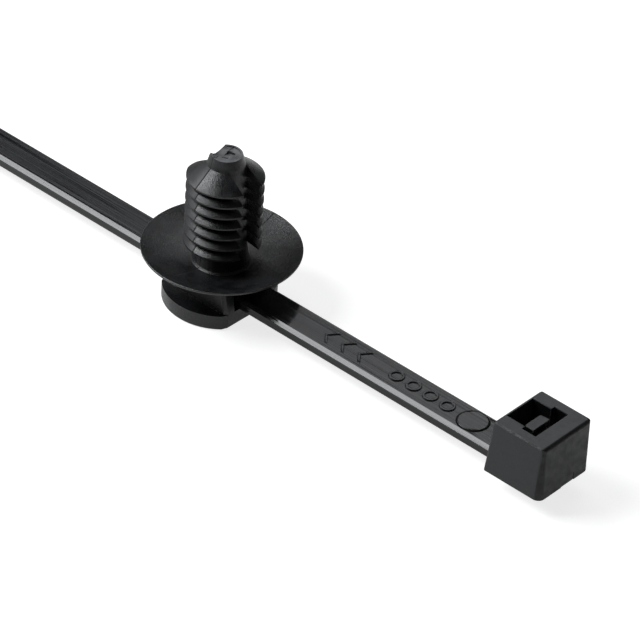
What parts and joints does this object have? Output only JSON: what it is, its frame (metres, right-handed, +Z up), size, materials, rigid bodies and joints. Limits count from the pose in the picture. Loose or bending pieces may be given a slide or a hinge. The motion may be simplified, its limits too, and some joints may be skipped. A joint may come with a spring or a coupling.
{
  "type": "fir tree cable tie",
  "caption": "Nylon cable tie whose toothed strap is threaded through a sliding fir tree mount with a dished washer, for fixing cables to a panel hole.",
  "frame": {"origin": "under the middle of the mount's foot, on the stud's axis", "axes": "+X along the strap towards the head, +Z up the stud"},
  "size_m": [0.155, 0.0182, 0.0192],
  "materials": {
    "tie_nylon": "satin black nylon with fine lengthwise tool streaks",
    "mount_nylon": "matt black nylon with a fine eroded grain"
  },
  "bodies": {
    "tie": {"cable_tie": "tie_nylon"},
    "mount": {"fir_tree_mount": "mount_nylon"}
  },
  "joints": [
    {"name": "mount_slide", "type": "slide", "parent": "tie", "child": "mount", "axis": [1, 0, 0], "range_m": [-0.1, 0.0332]}
  ]
}
